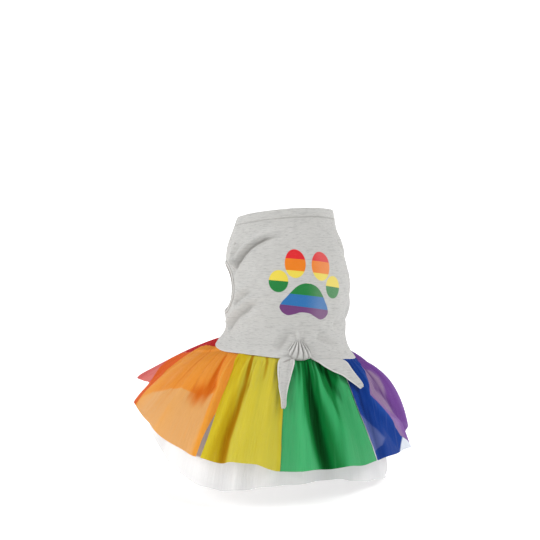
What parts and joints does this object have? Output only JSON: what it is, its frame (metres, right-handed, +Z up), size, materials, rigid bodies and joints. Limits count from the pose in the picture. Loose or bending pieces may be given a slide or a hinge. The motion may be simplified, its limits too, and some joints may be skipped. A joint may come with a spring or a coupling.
{
  "type": "dog dress",
  "caption": "Sleeveless dog dress: grey jersey bodice with a knotted back hem and a gathered rainbow skirt over a white underskirt.",
  "frame": {"origin": "inner face of the neck band at the middle of the back, where the dress sits on its wearer", "axes": "+Z up, +Y toward the wearer's head side (the bodice leans that way), -X the wearer's left side"},
  "size_m": [0.297, 0.2502, 0.2954],
  "materials": {
    "heather_jersey": "matte knitted jersey, light heather grey",
    "sheer_white": "sheer white organza",
    "sheer_red": "sheer red organza",
    "sheer_orange": "sheer orange organza",
    "sheer_yellow": "sheer yellow organza",
    "sheer_green": "sheer green organza",
    "sheer_blue": "sheer blue organza",
    "sheer_purple": "sheer purple organza"
  },
  "bodies": {
    "root": {"bodice": "heather_jersey", "neck_band": "heather_jersey", "leg_band_left": "heather_jersey", "leg_band_right": "heather_jersey", "knot": "heather_jersey", "tie_tail_left": "heather_jersey", "tie_tail_right": "heather_jersey", "underskirt": "sheer_white", "skirt_red": "sheer_red", "skirt_orange": "sheer_orange", "skirt_yellow": "sheer_yellow", "skirt_green": "sheer_green", "skirt_blue": "sheer_blue", "skirt_purple": "sheer_purple"}
  },
  "joints": []
}
